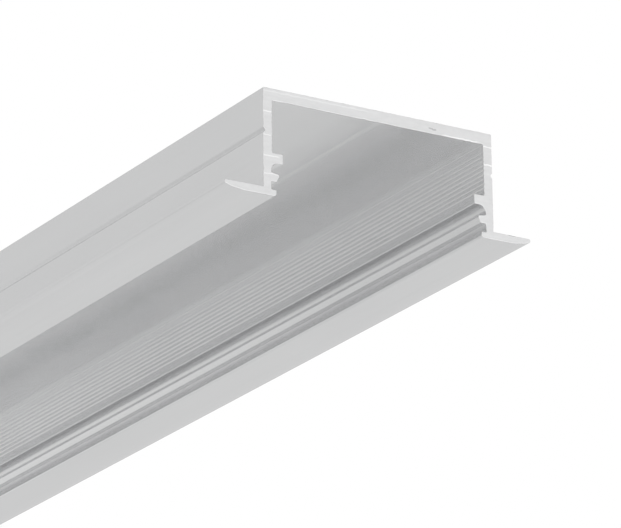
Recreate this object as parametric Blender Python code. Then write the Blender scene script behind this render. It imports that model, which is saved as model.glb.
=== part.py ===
"""Recessed aluminium profile for an LED strip, extruded in one piece.

The profile is a channel that opens downwards, as it hangs in a ceiling. Its
back carries the light strip on the inside, two fluted walls hang from the
back, and a trim flange stands out from the foot of each wall and covers the
edge of the ceiling's slot. On the inside of each wall a ledge, a snap barb
and a lip hold a diffuser that is pushed in from below.

All sizes are in metres. X runs along the profile, Y across it and Z up. The
origin is half way along, on the middle line, level with the undersides of
the flanges.
"""
import math

import bmesh
import bpy

# Body
PROFILE_LENGTH = 0.500
BODY_WIDTH = 0.0560              # across the outsides of the two walls
BODY_HEIGHT = 0.0235             # underside of the flanges to the top of the back
WALL_THICKNESS = 0.0021
BACK_THICKNESS = 0.0026

# Trim flanges
FLANGE_REACH = 0.00925           # how far each one stands out from its wall
FLANGE_THICKNESS = 0.00165
FLANGE_TIP_THICKNESS = 0.0009    # the round outer edge
FLANGE_CURVE_WIDTH = 0.0052      # outer stretch of the underside, which curves up

# Snap fittings on the inside of each wall, from the foot of the wall upwards
LIP_REACH = 0.0009               # beyond the inner face of the wall
LIP_THICKNESS = 0.0013
LIP_TO_BARB = 0.0019             # open height between the lip and the barb
BARB_REACH = 0.00205             # beyond the bottom of the snap groove
BARB_THICKNESS = 0.00185
BARB_TOP_DROP = 0.00035          # how far its upper side falls towards the nose
BARB_RAMP_RUN = 0.0007           # how far its slanting face runs back from the nose
BARB_NOSE_RADIUS = 0.0003
BARB_TO_LEDGE = 0.0022           # open height between the barb and the ledge
LEDGE_REACH = 0.0025             # beyond the inner face of the wall
LEDGE_THICKNESS = 0.0021
SNAP_GROOVE_DEPTH = 0.0003       # the wall behind barb and lip lies this much deeper
SNAP_GROOVE_RADIUS = 0.0018      # large fillet under the ledge

# Fine V flutes along the inner face of each wall
FLUTE_PITCH = 0.0010
FLUTE_WIDTH = 0.00044
FLUTE_DEPTH = 0.0002
FLUTE_RADIUS = 0.00005           # round bottom
PLAIN_STRIP_HEIGHT = 0.0014      # smooth stretch of the wall between the back and the flutes

# Scribed guide lines
SIDE_GROOVE_HEIGHT = 0.0141      # on the outside of each wall, above the flange underside
SIDE_GROOVE_WIDTH = 0.0012
SIDE_GROOVE_DEPTH = 0.0005
SIDE_GROOVE_RADIUS = 0.0002      # round bottom
CENTRE_GROOVE_WIDTH = 0.0012     # drill guide along the middle of the back, on the inside
CENTRE_GROOVE_DEPTH = 0.0001

# Edges, as the extrusion die leaves them
OUTER_EDGE_RADIUS = 0.00025
LEDGE_EDGE_RADIUS = 0.0002
LIP_EDGE_RADIUS = 0.0006         # lower edge of the lip, which guides the diffuser in
ROOT_RADIUS = 0.0002             # inside corners at the roots of the fittings
BACK_CORNER_RADIUS = 0.0003      # inside corners between the back and the walls

CHORD_ERROR = 0.000004           # how far an arc's straight steps may lie off the true arc
WELD_DISTANCE = 0.000001
SHARP_EDGE_ANGLE = math.radians(28)

ALUMINIUM_COLOUR = (0.78, 0.783, 0.787, 1.0)

# Places that follow from the sizes above, for the half of the section at +Y
HALF_BODY = BODY_WIDTH / 2
HALF_SPAN = HALF_BODY + FLANGE_REACH
WALL_INNER = HALF_BODY - WALL_THICKNESS
GROOVE_WALL = WALL_INNER + SNAP_GROOVE_DEPTH
LIP_EDGE = WALL_INNER - LIP_REACH
LEDGE_EDGE = WALL_INNER - LEDGE_REACH
BARB_NOSE = GROOVE_WALL - BARB_REACH
BACK_INNER = BODY_HEIGHT - BACK_THICKNESS
BARB_BOTTOM = LIP_THICKNESS + LIP_TO_BARB
BARB_TOP = BARB_BOTTOM + BARB_THICKNESS
LEDGE_BOTTOM = BARB_TOP + BARB_TO_LEDGE
LEDGE_TOP = LEDGE_BOTTOM + LEDGE_THICKNESS


def arc(centre, radius, start, end):
    """Points on an arc from the start angle to the end angle, both included."""
    step = 2 * math.acos(max(0.0, 1 - CHORD_ERROR / radius))
    count = max(2, math.ceil(abs(end - start) / step))
    angles = [start + (end - start) * index / count for index in range(count + 1)]
    return [(centre[0] + radius * math.cos(a), centre[1] + radius * math.sin(a)) for a in angles]


def fillet(before, corner, after, radius):
    """The arc that rounds a corner between two straight edges.

    The radius is limited to what the shorter edge leaves room for.
    """
    to_before = math.atan2(before[1] - corner[1], before[0] - corner[0])
    to_after = math.atan2(after[1] - corner[1], after[0] - corner[0])
    opening = (to_after - to_before + math.pi) % (2 * math.pi) - math.pi
    half_opening = abs(opening) / 2
    room = min(math.dist(before, corner), math.dist(after, corner))
    radius = min(radius, 0.95 * room * math.tan(half_opening))
    to_centre = to_before + opening / 2
    distance = radius / math.sin(half_opening)
    centre = (corner[0] + distance * math.cos(to_centre), corner[1] + distance * math.sin(to_centre))
    turn = math.copysign(math.pi - abs(opening), -opening)
    middle = to_centre + math.pi
    return arc(centre, radius, middle - turn / 2, middle + turn / 2)


def rounded(corners):
    """Outline through (y, z, radius) corners; a corner of radius 0 stays sharp.

    The first and the last corner are the ends of the outline and stay as given.
    """
    points = [corners[0][:2]]
    for before, corner, after in zip(corners, corners[1:], corners[2:]):
        if corner[2] > 0:
            points += fillet(before[:2], corner[:2], after[:2], corner[2])
        else:
            points.append(corner[:2])
    points.append(corners[-1][:2])
    return points


def wall_flutes():
    """Shallow V flutes down the inner face of the wall, from the top one.

    As many as fit between the plain strip below the back and the ledge, centred there.
    """
    top = BACK_INNER - PLAIN_STRIP_HEIGHT
    bottom = LEDGE_TOP + ROOT_RADIUS
    count = math.floor((top - bottom - FLUTE_WIDTH) / FLUTE_PITCH) + 1
    middle = (top + bottom) / 2
    points = []
    for index in range(count):
        height = middle + FLUTE_PITCH * ((count - 1) / 2 - index)
        points += rounded([
            (WALL_INNER, height + FLUTE_WIDTH / 2, 0),
            (WALL_INNER + FLUTE_DEPTH, height, FLUTE_RADIUS),
            (WALL_INNER, height - FLUTE_WIDTH / 2, 0),
        ])
    return points


def snap_fittings():
    """Ledge, snap groove, barb and lip, from the foot of the flutes to the flange underside."""
    return rounded([
        (WALL_INNER, LEDGE_TOP + 2 * ROOT_RADIUS, 0),
        (WALL_INNER, LEDGE_TOP, ROOT_RADIUS),
        (LEDGE_EDGE, LEDGE_TOP, LEDGE_EDGE_RADIUS),
        (LEDGE_EDGE, LEDGE_BOTTOM, LEDGE_EDGE_RADIUS),
        (GROOVE_WALL, LEDGE_BOTTOM, SNAP_GROOVE_RADIUS),
        (GROOVE_WALL, BARB_TOP, ROOT_RADIUS),
        (BARB_NOSE, BARB_TOP - BARB_TOP_DROP, BARB_NOSE_RADIUS),
        (BARB_NOSE + BARB_RAMP_RUN, BARB_BOTTOM, LEDGE_EDGE_RADIUS),
        (GROOVE_WALL, BARB_BOTTOM, ROOT_RADIUS),
        (GROOVE_WALL, LIP_THICKNESS, ROOT_RADIUS),
        (LIP_EDGE, LIP_THICKNESS, LEDGE_EDGE_RADIUS),
        (LIP_EDGE, 0, LIP_EDGE_RADIUS),
        (HALF_BODY, 0, 0),
    ])


def flange_tip():
    """The flange underside's outer stretch curves up into the round tip.

    Both arcs touch without a crease: the large one starts level where the flat
    underside ends, and the tip's small one lies inside it.
    """
    tip_radius = FLANGE_TIP_THICKNESS / 2
    tip = (HALF_SPAN - tip_radius, FLANGE_THICKNESS - tip_radius)
    start = HALF_SPAN - FLANGE_CURVE_WIDTH
    run = tip[0] - start
    rise = tip[1] - tip_radius
    sweep_radius = (run ** 2 + tip[1] ** 2 - tip_radius ** 2) / (2 * rise)
    meeting = math.atan2(tip[1] - sweep_radius, run)
    underside = arc((start, sweep_radius), sweep_radius, -math.pi / 2, meeting)
    round_end = arc(tip, tip_radius, meeting, math.pi / 2)
    return underside + round_end[1:]


def outer_side():
    """Outside of the wall with its scribed line, from the flange up to the middle of the back."""
    groove_bottom = SIDE_GROOVE_HEIGHT - SIDE_GROOVE_WIDTH / 2
    groove_top = SIDE_GROOVE_HEIGHT + SIDE_GROOVE_WIDTH / 2
    tip_start = HALF_SPAN - FLANGE_TIP_THICKNESS / 2
    return rounded([
        (tip_start, FLANGE_THICKNESS, 0),
        (HALF_BODY, FLANGE_THICKNESS, ROOT_RADIUS),
        (HALF_BODY, groove_bottom, 0),
        (HALF_BODY - SIDE_GROOVE_DEPTH, SIDE_GROOVE_HEIGHT, SIDE_GROOVE_RADIUS),
        (HALF_BODY, groove_top, 0),
        (HALF_BODY, BODY_HEIGHT, OUTER_EDGE_RADIUS),
        (0, BODY_HEIGHT, 0),
    ])[1:]


def back_inside():
    """Inner face of the back, from the drill guide on the middle line to the wall's corner."""
    return rounded([
        (0, BACK_INNER + CENTRE_GROOVE_DEPTH, 0),
        (CENTRE_GROOVE_WIDTH / 2, BACK_INNER, 0),
        (WALL_INNER, BACK_INNER, BACK_CORNER_RADIUS),
        (WALL_INNER, BACK_INNER - 2 * BACK_CORNER_RADIUS, 0),
    ])[:-1]


def section_outline():
    """The whole closed section: one half, and the same half mirrored about the middle line."""
    half = back_inside() + wall_flutes() + snap_fittings()[1:-1] + flange_tip() + outer_side()
    mirrored = [(-y, z) for y, z in reversed(half[1:-1])]
    return half + mirrored


def aluminium():
    """Clear anodised aluminium with a matt, silver finish."""
    material = bpy.data.materials.new("anodised_aluminium")
    material.use_nodes = True
    shader = material.node_tree.nodes["Principled BSDF"]
    shader.inputs["Base Color"].default_value = ALUMINIUM_COLOUR
    shader.inputs["Metallic"].default_value = 0.9
    shader.inputs["Roughness"].default_value = 0.45
    return material


def extrusion(name, outline, length, material):
    """Closed mesh of an outline in the YZ plane, extruded along X to both sides of the origin."""
    curve = bpy.data.curves.new(name + "_outline", "CURVE")
    curve.dimensions = "2D"
    curve.fill_mode = "BOTH"
    curve.extrude = length / 2
    spline = curve.splines.new("POLY")
    spline.points.add(len(outline) - 1)
    for point, (y, z) in zip(spline.points, outline):
        point.co = (y, z, 0, 1)
    spline.use_cyclic_u = True
    guide = bpy.data.objects.new(name + "_outline", curve)
    guide.rotation_euler = (math.pi / 2, 0, math.pi / 2)
    bpy.context.scene.collection.objects.link(guide)
    bpy.context.view_layer.update()

    mesh = bpy.data.meshes.new_from_object(guide.evaluated_get(bpy.context.evaluated_depsgraph_get()))
    mesh.name = name
    solid = bmesh.new()
    solid.from_mesh(mesh)
    bmesh.ops.remove_doubles(solid, verts=solid.verts, dist=WELD_DISTANCE)
    bmesh.ops.recalc_face_normals(solid, faces=solid.faces)
    solid.to_mesh(mesh)
    solid.free()
    mesh.materials.clear()
    mesh.materials.append(material)
    mesh.shade_smooth()
    mesh.set_sharp_from_angle(angle=SHARP_EDGE_ANGLE)

    piece = bpy.data.objects.new(name, mesh)
    piece.matrix_world = guide.matrix_world
    bpy.data.objects.remove(guide)
    return piece


def main():
    for existing in list(bpy.data.objects):
        bpy.data.objects.remove(existing)
    parts = bpy.data.collections.new("led_strip_profile")
    bpy.context.scene.collection.children.link(parts)
    parts.objects.link(extrusion("profile", section_outline(), PROFILE_LENGTH, aluminium()))


main()
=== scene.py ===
"""Looks of a recessed aluminium profile for an LED strip, seen from below as in a product photograph."""
import math

import bmesh
import bpy
import mathutils.noise
from mathutils import Matrix, Vector


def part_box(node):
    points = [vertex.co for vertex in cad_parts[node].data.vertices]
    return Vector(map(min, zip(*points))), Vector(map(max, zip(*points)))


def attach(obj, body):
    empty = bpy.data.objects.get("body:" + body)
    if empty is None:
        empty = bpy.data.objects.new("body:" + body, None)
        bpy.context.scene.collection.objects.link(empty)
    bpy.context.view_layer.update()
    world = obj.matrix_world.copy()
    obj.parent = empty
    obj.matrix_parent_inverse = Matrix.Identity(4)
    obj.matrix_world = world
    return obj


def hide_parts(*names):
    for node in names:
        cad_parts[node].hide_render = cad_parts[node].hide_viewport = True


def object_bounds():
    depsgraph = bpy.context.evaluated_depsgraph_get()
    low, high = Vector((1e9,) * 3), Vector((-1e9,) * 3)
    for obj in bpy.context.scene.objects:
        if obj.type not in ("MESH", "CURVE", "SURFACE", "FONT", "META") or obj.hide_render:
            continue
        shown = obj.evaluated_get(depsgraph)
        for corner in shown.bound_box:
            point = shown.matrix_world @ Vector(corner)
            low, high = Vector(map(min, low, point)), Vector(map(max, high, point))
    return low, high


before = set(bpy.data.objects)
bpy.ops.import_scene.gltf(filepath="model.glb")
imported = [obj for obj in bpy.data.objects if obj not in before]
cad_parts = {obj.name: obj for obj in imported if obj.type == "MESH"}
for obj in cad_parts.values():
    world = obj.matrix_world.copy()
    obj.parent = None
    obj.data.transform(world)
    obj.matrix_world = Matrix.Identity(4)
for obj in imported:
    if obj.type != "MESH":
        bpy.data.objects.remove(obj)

cad_low, cad_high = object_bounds()
node_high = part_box("profile")[1]

# Lengths are in metres.

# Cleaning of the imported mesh
WELD_DISTANCE = 0.000002         # points nearer to each other than this are one point
FLAT_ANGLE = math.radians(0.2)   # faces that turn less than this are one face
SHARP_ANGLE = math.radians(24)   # edges that turn less than this are shaded smooth
END_NORMAL = 0.9                 # a face whose normal points this much along X is a cut end

# Finish of the cut ends
CUT_ZONE = 0.0006                # how far from the cut the edges may be ragged
RAGGED_STEP = 0.00035            # spacing of the points along a ragged edge
RAGGED_DEPTH = 0.00014           # about the deepest bite into an edge
CUT_CHAMFER = 0.00005            # narrowest chamfer round the cut face
CHAMFER_SPREAD = 0.00012         # how much wider it may be in places
CHAMFER_SLOPE = 0.6              # how far that extra width runs along X, as a share of it

# Noise along the cut edges: cells in a metre round the section, and where the noise starts
WIDE_BITES = (420.0, 3.0)
FINE_BITES = (1500.0, 11.0)
CHAMFER_WAVES = (160.0, 23.0)
ENDS_APART = 40.0                # cells in a metre along X, so that the two ends differ
WIDE_SHARE = 0.9                 # how much of the wide and of the fine noise goes into a bite
FINE_SHARE = 0.7

# Scribed groove on the outside of each wall
WALL_FACE = 0.028
WALL_SKIN = 0.00002              # nearer to the wall's face than this is the face itself
GROOVE_HEIGHT = 0.0141
GROOVE_REACH = 0.0007
GROOVE_DEPTH = 0.0006

# Guide line along the middle of the back, on the inside
BACK_INSIDE = 0.0209
GUIDE_REACH = 0.00065
GUIDE_DEPTH = 0.0002

# Flutes on the inside of each wall, which the etch before anodising leaves softer than the die cut them
INNER_WALL_FACE = 0.0259
FLUTES_LOW = 0.0096
FLUTES_HIGH = 0.0194
FLUTE_REACH = 0.0003             # further behind the wall's face than this isn't a flute
FLUTE_KEPT = 0.62                # share of their depth that is left

# Order of the finishes on the extrusion. The scribed groove's finish is darkened with painted shade, and
# the guide line's is lightened with a painted highlight.
ANODISED_SLOT, SAW_CUT_SLOT, SCRIBED_SLOT, GUIDE_LINE_SLOT = range(4)

# The photograph's camera: where it looks, from how far, and how it is turned
CAMERA_TARGET = Vector((node_high.x, -0.0171, -0.0133))
CAMERA_DISTANCE = 1.040
CAMERA_AZIMUTH = math.radians(58.48)
CAMERA_ELEVATION = math.radians(-19.51)
CAMERA_ROLL = math.radians(-0.74)
CAMERA_LENS = 295.4
CAMERA_SENSOR = 36.0
CAMERA_CLIP = (0.05, 100.0)

# Colours, linear
WHITE = (1, 1, 1, 1)
ANODISED = (0.800, 0.803, 0.807)
# painted shade: the scribed groove is coloured darker than the anodising round it
SCRIBED_SHADE = (0.775, 0.778, 0.782)
# painted highlight: the guide line is coloured lighter than the anodising round it
GUIDE_LINE_HIGHLIGHT = (0.850, 0.853, 0.857)
SAW_CUT = (0.722, 0.724, 0.727)
FLOOR_COLOUR = (0.93, 0.93, 0.93)
WATER_TINT = (0.90, 0.905, 0.91)
# light scores, and a painted highlight on one burr
SCORE_AND_HIGHLIGHT_TINT = (0.95, 0.95, 0.95)
# painted shade inside the nicks
NICK_SHADE_TINT = (0.34, 0.34, 0.35)
ANODISED_TONES = (0.97, 1.02)    # darkest and lightest shade, as shares of the colour
SAW_CUT_TONES = (0.94, 1.05)

# Noise in the finishes: cells in a metre along X, Y and Z
DIE_LINES = (2.0, 1500.0, 1500.0)
ETCH = (2600.0, 2600.0, 2600.0)
CLOUDS = (14.0, 60.0, 60.0)
SAW_MARKS = (500.0, 25.0, 2600.0)
SAW_PATCHES = (500.0, 420.0, 900.0)
SCORE_WANDER = (500.0, 700.0, 700.0)
WATER_RIM = (90.0, 90.0, 90.0)
DIE_LINE_SHARE = 0.4             # how much of each noise goes into the shade
CLOUD_SHARE = 0.6
SAW_MARK_SHARE = 0.5
SAW_PATCH_SHARE = 0.5

# How the finishes shine. A bump is given by its strength and its height
ANODISED_METALLIC = 0.9
ANODISED_ROUGHNESS = (0.255, 0.268)
ANODISED_BUMP = (0.02, 0.00002)
SAW_CUT_METALLIC = 0.5
SAW_CUT_ROUGHNESS = (0.42, 0.58)
SAW_CUT_BUMP = (0.35, 0.00003)
FLOOR_ROUGHNESS = 0.9
FLOOR_SPECULAR = 0.1
FLOOR_GLOW = 0.24                # brings the floor close to the white background for the camera

# Water marks on the inside of the back: middle, half sizes, where the dark rim ends inwards, strength
WATER_MARKS = (
    ((0.1075, 0.0018), (0.0265, 0.0208), 0.35, 0.24),
    ((0.0780, 0.0118), (0.0290, 0.0042), -0.6, 0.18),
)
WATER_EDGE = (1.04, 0.94)        # where a mark starts and where it is full, in half sizes
WATER_WAVER = 0.12               # how far its rim wavers, in half sizes
WATER_LAYER = (0.0008, 0.0004)   # how near the inside of the back it starts, and where it is full

# Marks on the cut faces: middle across and up, half sizes, strength. The light lines are scores, but one is
# a painted highlight on a burr; the nicks are pits darkened with painted shade.
SCORES_AND_BURR_HIGHLIGHT = (
    ((0.02695, 0.02043), (0.0016, 0.00020), 0.9),
    ((0.02695, 0.01636), (0.0016, 0.00022), 1.0),
    ((-0.02700, 0.01828), (0.0016, 0.00020), 0.8),
    ((-0.02700, 0.01311), (0.0016, 0.00018), 0.6),
    ((-0.02620, 0.00860), (0.0022, 0.00018), 0.7),
    ((-0.02620, 0.00470), (0.0022, 0.00018), 0.6),
    ((-0.01600, 0.02280), (0.0160, 0.00022), 0.3),
    # painted highlight: light on a burr along the inside of the back
    ((0.02040, 0.02110), (0.0052, 0.00018), 0.9),
)
# real nicks, whose dark colour is painted shade inside the pits
SHADED_NICKS = (
    ((0.01284, 0.02200), (0.00062, 0.00026), 0.5),
    ((0.01374, 0.02184), (0.00055, 0.00026), 0.55),
)
MARK_WAVER = 0.00012             # how far a mark wavers up and down
MARK_CORE_ACROSS = 0.7           # shares of the half sizes within which a mark is full
MARK_CORE_UP = 0.3

# Floor
FLOOR_REACH = 30.0
FLOOR_GAP = 0.0003               # how far it lies below the profile

# Light. Angles are in degrees: azimuth from +X, elevation from the horizon.
# The camera sees a white background, but the metal mirrors a grey studio, as its grey levels in the
# photograph show.
BACKGROUND_LIGHT = 1.0
ROOM_LIGHT = 0.685
DARK_SIDE = (230, -30)           # the studio's greyer side
DARK_SIDE_EDGE = 40.0
DARK_SIDE_LIGHT = 0.585
SOFT_LAMPS = {                   # azimuth, elevation, strength, width
    "lamp_below_end": (0, -48, 1.50, 100),
    "lamp_left_side": (285, -5, 0.60, 110),
    "lamp_above_end": (30, 50, 0.30, 100),
}
SOFTBOX_PLACE = (-0.41, -0.13, -0.13)
SOFTBOX_FACES = (25, 15)
SOFTBOX_WIDTH = 0.46
SOFTBOX_HEIGHT = 0.22            # all of it below the floor, so that the floor shows no edge of it
SOFTBOX_POWER = 0.052


def node(tree, kind, **settings):
    made = tree.nodes.new(kind)
    for key, value in settings.items():
        setattr(made, key, value)
    return made


def link(tree, source, target):
    tree.links.new(source, target)


def object_axes(tree):
    """X, Y and Z of a place on the object, in metres."""
    place = node(tree, "ShaderNodeTexCoord")
    axes = node(tree, "ShaderNodeSeparateXYZ")
    link(tree, place.outputs["Object"], axes.inputs["Vector"])
    return axes.outputs


def stretched_noise(tree, scale, detail=3.0, roughness=0.55):
    """Noise in the object's own metres, with its own scale along X, Y and Z."""
    place = node(tree, "ShaderNodeTexCoord")
    stretch = node(tree, "ShaderNodeMapping")
    stretch.inputs["Scale"].default_value = scale
    noise = node(tree, "ShaderNodeTexNoise")
    noise.inputs["Scale"].default_value = 1.0
    noise.inputs["Detail"].default_value = detail
    noise.inputs["Roughness"].default_value = roughness
    link(tree, place.outputs["Object"], stretch.inputs["Vector"])
    link(tree, stretch.outputs["Vector"], noise.inputs["Vector"])
    return noise.outputs["Fac"]


def between(tree, value, low, high, from_low=0.3, from_high=0.7):
    """A value in from_low to from_high, where noise mostly lies, brought to low to high."""
    spread = node(tree, "ShaderNodeMapRange")
    spread.inputs["From Min"].default_value = from_low
    spread.inputs["From Max"].default_value = from_high
    spread.inputs["To Min"].default_value = low
    spread.inputs["To Max"].default_value = high
    link(tree, value, spread.inputs["Value"])
    return spread.outputs["Result"]


def scaled(colour, factor):
    return tuple(channel * factor for channel in colour)


def tinted(tree, value, colour, tones):
    """The colour in shades that run from the first tone to the second with the value."""
    dark, light = tones
    mix = node(tree, "ShaderNodeMix", data_type="RGBA")
    mix.inputs["A"].default_value = (*scaled(colour, dark), 1)
    mix.inputs["B"].default_value = (*scaled(colour, light), 1)
    link(tree, value, mix.inputs["Factor"])
    return mix.outputs["Result"]


def added(tree, first, second):
    total = node(tree, "ShaderNodeMath", operation="ADD")
    link(tree, first, total.inputs[0])
    link(tree, second, total.inputs[1])
    return total.outputs["Value"]


def multiplied(tree, first, second):
    product = node(tree, "ShaderNodeMath", operation="MULTIPLY")
    link(tree, first, product.inputs[0])
    link(tree, second, product.inputs[1])
    return product.outputs["Value"]


def scaled_value(tree, value, factor):
    product = node(tree, "ShaderNodeMath", operation="MULTIPLY")
    link(tree, value, product.inputs[0])
    product.inputs[1].default_value = factor
    return product.outputs["Value"]


def distance_from(tree, value, middle):
    """How far a value lies from the middle, on either side."""
    offset = node(tree, "ShaderNodeMath", operation="SUBTRACT")
    size = node(tree, "ShaderNodeMath", operation="ABSOLUTE")
    link(tree, value, offset.inputs[0])
    offset.inputs[1].default_value = middle
    link(tree, offset.outputs["Value"], size.inputs[0])
    return size.outputs["Value"]


def smooth(tree, value, empty, full):
    """A soft step from 0 where the value is at empty to 1 where it is at full."""
    step = node(tree, "ShaderNodeMapRange", interpolation_type="SMOOTHSTEP")
    step.inputs["From Min"].default_value = empty
    step.inputs["From Max"].default_value = full
    link(tree, value, step.inputs["Value"])
    return step.outputs["Result"]


def new_material(name):
    material = bpy.data.materials.new(name)
    material.use_nodes = True
    return material, material.node_tree, material.node_tree.nodes["Principled BSDF"]


def raised(tree, shader, value, size):
    """The value stands up from the surface as a bump of the given strength and height."""
    bump = node(tree, "ShaderNodeBump")
    bump.inputs["Strength"].default_value, bump.inputs["Distance"].default_value = size
    link(tree, value, bump.inputs["Height"])
    link(tree, bump.outputs["Normal"], shader.inputs["Normal"])


def oval(tree, centre, reach):
    """How far a place lies from the middle of an oval seen from above: 0 in the middle, 1 on its edge."""
    place = node(tree, "ShaderNodeTexCoord")
    fit = node(tree, "ShaderNodeMapping")
    fit.inputs["Location"].default_value = (-centre[0] / reach[0], -centre[1] / reach[1], 0)
    fit.inputs["Scale"].default_value = (1 / reach[0], 1 / reach[1], 0)
    length = node(tree, "ShaderNodeVectorMath", operation="LENGTH")
    link(tree, place.outputs["Object"], fit.inputs["Vector"])
    link(tree, fit.outputs["Vector"], length.inputs[0])
    return length.outputs["Value"]


def water_marks(tree):
    """Faint dried water marks on the inside of the back: 1 is the full mark."""
    ragged = between(tree, stretched_noise(tree, WATER_RIM, detail=2.0), -WATER_WAVER, WATER_WAVER)
    start, full = WATER_EDGE
    total = None
    for centre, reach, inner, strength in WATER_MARKS:
        distance = added(tree, oval(tree, centre, reach), ragged)
        edge = smooth(tree, distance, start, full)
        body = smooth(tree, distance, inner, full)
        mark = scaled_value(tree, multiplied(tree, edge, body), strength)
        total = mark if total is None else added(tree, total, mark)
    inside = smooth(tree, distance_from(tree, object_axes(tree)["Z"], BACK_INSIDE), *WATER_LAYER)
    return multiplied(tree, total, inside)


def anodised_aluminium(name, tint):
    """Satin clear anodising over faint die lines that run along the profile."""
    material, tree, shader = new_material(name)
    die_lines = stretched_noise(tree, DIE_LINES, detail=4.0)
    etch = stretched_noise(tree, ETCH, detail=2.0)
    clouds = stretched_noise(tree, CLOUDS, detail=2.0)
    fine = between(tree, die_lines, 0.0, DIE_LINE_SHARE)
    coarse = between(tree, clouds, 0.0, CLOUD_SHARE)
    tone = added(tree, fine, coarse)
    marked = node(tree, "ShaderNodeMix", data_type="RGBA", blend_type="MULTIPLY")
    marked.inputs["B"].default_value = (*WATER_TINT, 1)
    link(tree, water_marks(tree), marked.inputs["Factor"])
    link(tree, tinted(tree, tone, tint, ANODISED_TONES), marked.inputs["A"])
    link(tree, marked.outputs["Result"], shader.inputs["Base Color"])
    shader.inputs["Metallic"].default_value = ANODISED_METALLIC
    link(tree, between(tree, etch, *ANODISED_ROUGHNESS), shader.inputs["Roughness"])
    raised(tree, shader, die_lines, ANODISED_BUMP)
    return material


def end_marks(tree, places):
    """Sum of soft-edged patches on the cut face, each given by its middle, half sizes and strength."""
    axes = object_axes(tree)
    wander = between(tree, stretched_noise(tree, SCORE_WANDER), -MARK_WAVER, MARK_WAVER)
    height = added(tree, axes["Z"], wander)
    total = None
    for (across, up), (half_across, half_up), strength in places:
        aside = distance_from(tree, axes["Y"], across)
        side = smooth(tree, aside, half_across, half_across * MARK_CORE_ACROSS)
        level = smooth(tree, distance_from(tree, height, up), half_up, half_up * MARK_CORE_UP)
        patch = scaled_value(tree, multiplied(tree, side, level), strength)
        total = patch if total is None else added(tree, total, patch)
    return total


def saw_cut_aluminium():
    """Bare metal of the cut ends, with the saw's marks running across the profile."""
    material, tree, shader = new_material("saw_cut_aluminium")
    marks = stretched_noise(tree, SAW_MARKS, detail=5.0, roughness=0.6)
    patches = stretched_noise(tree, SAW_PATCHES, detail=3.0)
    fine = between(tree, marks, 0.0, SAW_MARK_SHARE)
    coarse = between(tree, patches, 0.0, SAW_PATCH_SHARE)
    tone = added(tree, fine, coarse)
    colour = tinted(tree, tone, SAW_CUT, SAW_CUT_TONES)
    # Light scores with one painted highlight on a burr, then nicks darkened with painted shade.
    for places, tint in ((SCORES_AND_BURR_HIGHLIGHT, SCORE_AND_HIGHLIGHT_TINT), (SHADED_NICKS, NICK_SHADE_TINT)):
        mix = node(tree, "ShaderNodeMix", data_type="RGBA")
        mix.inputs["B"].default_value = (*tint, 1)
        link(tree, end_marks(tree, places), mix.inputs["Factor"])
        link(tree, colour, mix.inputs["A"])
        colour = mix.outputs["Result"]
    link(tree, colour, shader.inputs["Base Color"])
    shader.inputs["Metallic"].default_value = SAW_CUT_METALLIC
    link(tree, between(tree, marks, *SAW_CUT_ROUGHNESS), shader.inputs["Roughness"])
    raised(tree, shader, marks, SAW_CUT_BUMP)
    return material


def soften_flutes(solid):
    """The flutes keep part of their depth, and the wall between them stays where it is."""
    for vertex in solid.verts:
        depth = abs(vertex.co.y) - INNER_WALL_FACE
        if WELD_DISTANCE < depth < FLUTE_REACH and FLUTES_LOW < vertex.co.z < FLUTES_HIGH:
            vertex.co.y -= math.copysign(depth * (1 - FLUTE_KEPT), vertex.co.y)


def in_side_groove(face):
    """True for the faces inside the scribed groove on the outside of a wall."""
    middle = face.calc_center_median()
    near_wall = WALL_FACE - GROOVE_DEPTH < abs(middle.y) < WALL_FACE - WALL_SKIN
    return near_wall and abs(middle.z - GROOVE_HEIGHT) < GROOVE_REACH


def in_guide_line(face):
    """True for the faces inside the guide line on the back."""
    middle = face.calc_center_median()
    return abs(middle.y) < GUIDE_REACH and WELD_DISTANCE < middle.z - BACK_INSIDE < GUIDE_DEPTH


def finish_of(face):
    """The finish on a face that isn't part of a cut end: painted shade in the scribed groove, a painted
    highlight on the guide line.
    """
    if in_side_groove(face):
        return SCRIBED_SLOT
    if in_guide_line(face):
        return GUIDE_LINE_SLOT
    return ANODISED_SLOT


def mark_sharp(edges):
    for edge in edges:
        edge.smooth = edge.calc_face_angle(0.0) < SHARP_ANGLE


def true_flat_normals(mesh):
    """Shading normals weighted by area, so that a wide flat keeps its own normal beside a small radius."""
    solid = bmesh.new()
    solid.from_mesh(mesh)
    solid.faces.ensure_lookup_table()
    normals = [None] * len(mesh.loops)
    for face, polygon in zip(solid.faces, mesh.polygons):
        for loop, index in zip(face.loops, polygon.loop_indices):
            normals[index] = fan_normal(loop)
    solid.free()
    mesh.normals_split_custom_set(normals)


def fan_normal(corner):
    """Area-weighted normal of the faces that meet a corner without a sharp edge between them."""
    faces = {corner.face}
    waiting = [corner.face]
    while waiting:
        here = waiting.pop()
        for edge in here.edges:
            if corner.vert not in edge.verts or not edge.smooth:
                continue
            for face in edge.link_faces:
                if face not in faces:
                    faces.add(face)
                    waiting.append(face)
    total = Vector((0.0, 0.0, 0.0))
    for face in sorted(faces, key=lambda one: one.index):
        total += face.normal * face.calc_area()
    return total.normalized()


def end_faces(solid, side):
    return [face for face in solid.faces if face.normal.x * side > END_NORMAL]


def unevenness(place, cells, start):
    """Smooth noise from -1 to 1 round the section, the same in every run."""
    return mathutils.noise.noise(Vector((place.x * ENDS_APART + start, place.y * cells, place.z * cells)))


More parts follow.
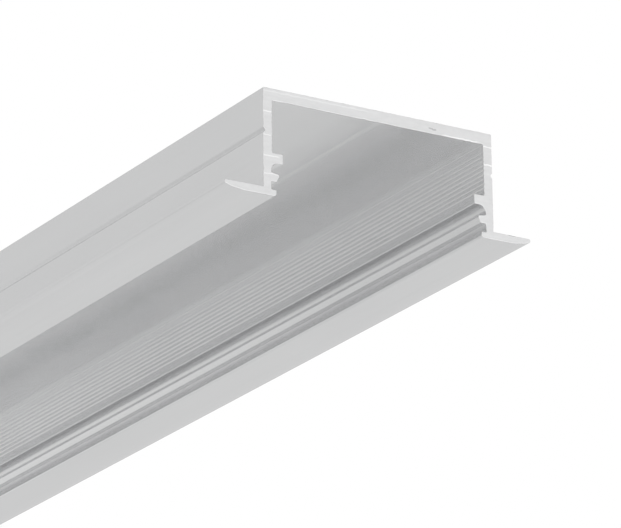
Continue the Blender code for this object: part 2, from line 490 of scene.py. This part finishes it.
def sawn_end(solid, side):
    """One end as a saw leaves it, with bites along its edges and an uneven chamfer. Returns its faces."""
    zone = Vector((side * (cad_high.x - CUT_ZONE), 0, 0))
    parts = list(solid.verts) + list(solid.edges) + list(solid.faces)
    bmesh.ops.bisect_plane(solid, geom=parts, plane_co=zone, plane_no=(1, 0, 0), dist=WELD_DISTANCE)
    ends = set(end_faces(solid, side))
    for edge in [edge for edge in solid.edges if sum(face in ends for face in edge.link_faces) == 1]:
        cuts = int(edge.calc_length() / RAGGED_STEP)
        if cuts > 0:
            bmesh.ops.subdivide_edges(solid, edges=[edge], cuts=cuts)
    ends = end_faces(solid, side)
    ring = bmesh.ops.inset_region(solid, faces=ends, thickness=CUT_CHAMFER, use_even_offset=True)["faces"]
    cut = set(ends) | set(ring)
    inner = {vertex for face in ends for vertex in face.verts}
    outer = {vertex for face in ring for vertex in face.verts} - inner
    for vertex in [vertex for vertex in solid.verts if vertex in outer]:
        outward = Vector((0, 0, 0))
        for face in vertex.link_faces:
            if face not in cut:
                outward += face.normal
        outward.normalize()
        wide = unevenness(vertex.co, *WIDE_BITES)
        fine = unevenness(vertex.co, *FINE_BITES)
        bite = RAGGED_DEPTH * max(0.0, WIDE_SHARE * wide + FINE_SHARE * fine)
        extra = CHAMFER_SPREAD * max(0.0, unevenness(vertex.co, *CHAMFER_WAVES))
        for edge in vertex.link_edges:
            partner = edge.other_vert(vertex)
            if partner in inner:
                partner.co -= outward * (bite + extra)
        vertex.co -= outward * bite
        vertex.co.x -= side * (CUT_CHAMFER + CHAMFER_SLOPE * extra)
    return cut


def dressed_profile():
    """The extrusion with clean flat faces, ragged saw cuts and its four finishes, one of them painted shade
    in the scribed groove and one a painted highlight on the guide line.
    """
    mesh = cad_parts["profile"].data.copy()
    mesh.name = "profile_extrusion"
    solid = bmesh.new()
    solid.from_mesh(mesh)
    bmesh.ops.remove_doubles(solid, verts=solid.verts, dist=WELD_DISTANCE)
    bmesh.ops.dissolve_limit(solid, angle_limit=FLAT_ANGLE, verts=solid.verts, edges=solid.edges)
    soften_flutes(solid)
    # Sharp edges are found on the clean form, before the saw's bites tilt the faces beside them.
    mark_sharp(solid.edges)
    sawn = sawn_end(solid, 1) | sawn_end(solid, -1)
    bmesh.ops.recalc_face_normals(solid, faces=solid.faces)
    for face in solid.faces:
        face.smooth = True
        face.material_index = finish_of(face)
    for face in sawn:
        face.material_index = SAW_CUT_SLOT
        mark_sharp(face.edges)
    # In the order of the slots.
    mesh.materials.clear()
    mesh.materials.append(anodised_aluminium("anodised_aluminium", ANODISED))
    mesh.materials.append(saw_cut_aluminium())
    # painted shade in the scribed groove
    mesh.materials.append(anodised_aluminium("scribed_groove_painted_shade", SCRIBED_SHADE))
    # painted highlight on the guide line
    mesh.materials.append(anodised_aluminium("guide_line_painted_highlight", GUIDE_LINE_HIGHLIGHT))
    solid.to_mesh(mesh)
    solid.free()
    true_flat_normals(mesh)
    piece = bpy.data.objects.new("profile_extrusion", mesh)
    bpy.context.scene.collection.objects.link(piece)
    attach(piece, "root")
    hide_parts("profile")


def one_sided_floor():
    """Pale floor under the profile. It shows only from above, so that the view from below looks past it."""
    material, tree, shader = new_material("floor")
    shader.inputs["Base Color"].default_value = (*FLOOR_COLOUR, 1)
    shader.inputs["Roughness"].default_value = FLOOR_ROUGHNESS
    shader.inputs["Specular IOR Level"].default_value = FLOOR_SPECULAR
    shader.inputs["Emission Color"].default_value = WHITE
    shader.inputs["Emission Strength"].default_value = FLOOR_GLOW
    rays = node(tree, "ShaderNodeLightPath")
    sides = node(tree, "ShaderNodeNewGeometry")
    front = node(tree, "ShaderNodeMath", operation="SUBTRACT")
    clear = node(tree, "ShaderNodeBsdfTransparent")
    mix = node(tree, "ShaderNodeMixShader")
    front.inputs[0].default_value = 1.0
    link(tree, sides.outputs["Backfacing"], front.inputs[1])
    shown = multiplied(tree, rays.outputs["Is Camera Ray"], front.outputs["Value"])
    link(tree, shown, mix.inputs["Fac"])
    link(tree, clear.outputs["BSDF"], mix.inputs[1])
    link(tree, shader.outputs["BSDF"], mix.inputs[2])
    link(tree, mix.outputs["Shader"], tree.nodes["Material Output"].inputs["Surface"])
    reach = FLOOR_REACH
    corners = [(-reach, -reach, 0), (reach, -reach, 0), (reach, reach, 0), (-reach, reach, 0)]
    mesh = bpy.data.meshes.new("floor")
    mesh.from_pydata(corners, [], [(0, 1, 2, 3)])
    mesh.materials.append(material)
    floor = bpy.data.objects.new("floor", mesh)
    floor.location = (0, 0, cad_low.z - FLOOR_GAP)
    bpy.context.scene.collection.objects.link(floor)


def direction(azimuth, elevation):
    """Unit vector towards a place given in degrees, azimuth from +X."""
    turn = math.radians(azimuth)
    lift = math.radians(elevation)
    return Vector((math.cos(lift) * math.cos(turn), math.cos(lift) * math.sin(turn), math.sin(lift)))


def studio_side(tree, towards, edge):
    """1 in one direction of the room, fading to 0 at an angle of edge degrees from it."""
    place = node(tree, "ShaderNodeTexCoord")
    along = node(tree, "ShaderNodeVectorMath", operation="DOT_PRODUCT")
    along.inputs[1].default_value = direction(*towards)
    link(tree, place.outputs["Generated"], along.inputs[0])
    return smooth(tree, along.outputs["Value"], math.cos(math.radians(edge)), 1.0)


def studio():
    """Grey room with one greyer side, a white background for the camera, and wide soft lamps."""
    world = bpy.data.worlds.new("studio")
    bpy.context.scene.world = world
    world.use_nodes = True
    tree = world.node_tree
    background = tree.nodes["Background"]
    background.inputs["Color"].default_value = WHITE
    shade = studio_side(tree, DARK_SIDE, DARK_SIDE_EDGE)
    room = between(tree, shade, ROOM_LIGHT, DARK_SIDE_LIGHT, 0.0, 1.0)
    rays = node(tree, "ShaderNodeLightPath")
    level = node(tree, "ShaderNodeMix", data_type="FLOAT")
    level.inputs["B"].default_value = BACKGROUND_LIGHT
    link(tree, rays.outputs["Is Camera Ray"], level.inputs["Factor"])
    link(tree, room, level.inputs["A"])
    link(tree, level.outputs["Result"], background.inputs["Strength"])
    for name, (azimuth, elevation, strength, width) in SOFT_LAMPS.items():
        data = bpy.data.lights.new(name, "SUN")
        data.energy = strength
        data.angle = math.radians(width)
        lamp = bpy.data.objects.new(name, data)
        lamp.rotation_euler = direction(azimuth, elevation).to_track_quat("Z", "Y").to_euler()
        bpy.context.scene.collection.objects.link(lamp)


def far_softbox():
    """Soft panel to the far left, below the profile, that the profile's inside reflects."""
    data = bpy.data.lights.new("far_softbox", "AREA")
    data.shape = "ELLIPSE"
    data.size = SOFTBOX_WIDTH
    data.size_y = SOFTBOX_HEIGHT
    data.energy = SOFTBOX_POWER
    lamp = bpy.data.objects.new("far_softbox", data)
    lamp.location = SOFTBOX_PLACE
    lamp.rotation_euler = direction(*SOFTBOX_FACES).to_track_quat("-Z", "Y").to_euler()
    lamp.visible_camera = False
    bpy.context.scene.collection.objects.link(lamp)


def photo_camera():
    away = Vector((
        math.sin(CAMERA_AZIMUTH) * math.cos(CAMERA_ELEVATION),
        -math.cos(CAMERA_AZIMUTH) * math.cos(CAMERA_ELEVATION),
        math.sin(CAMERA_ELEVATION),
    ))
    data = bpy.data.cameras.new("photo_camera")
    data.lens = CAMERA_LENS
    data.sensor_width = CAMERA_SENSOR
    data.clip_start, data.clip_end = CAMERA_CLIP
    camera = bpy.data.objects.new("photo_camera", data)
    turn = (-away).to_track_quat("-Z", "Y").to_matrix().to_4x4()
    place = Matrix.Translation(CAMERA_TARGET + away * CAMERA_DISTANCE)
    camera.matrix_world = place @ turn @ Matrix.Rotation(CAMERA_ROLL, 4, "Z")
    bpy.context.scene.collection.objects.link(camera)
    bpy.context.scene.camera = camera


bpy.context.scene.view_settings.view_transform = "Standard"
dressed_profile()
one_sided_floor()
studio()
far_softbox()
photo_camera()
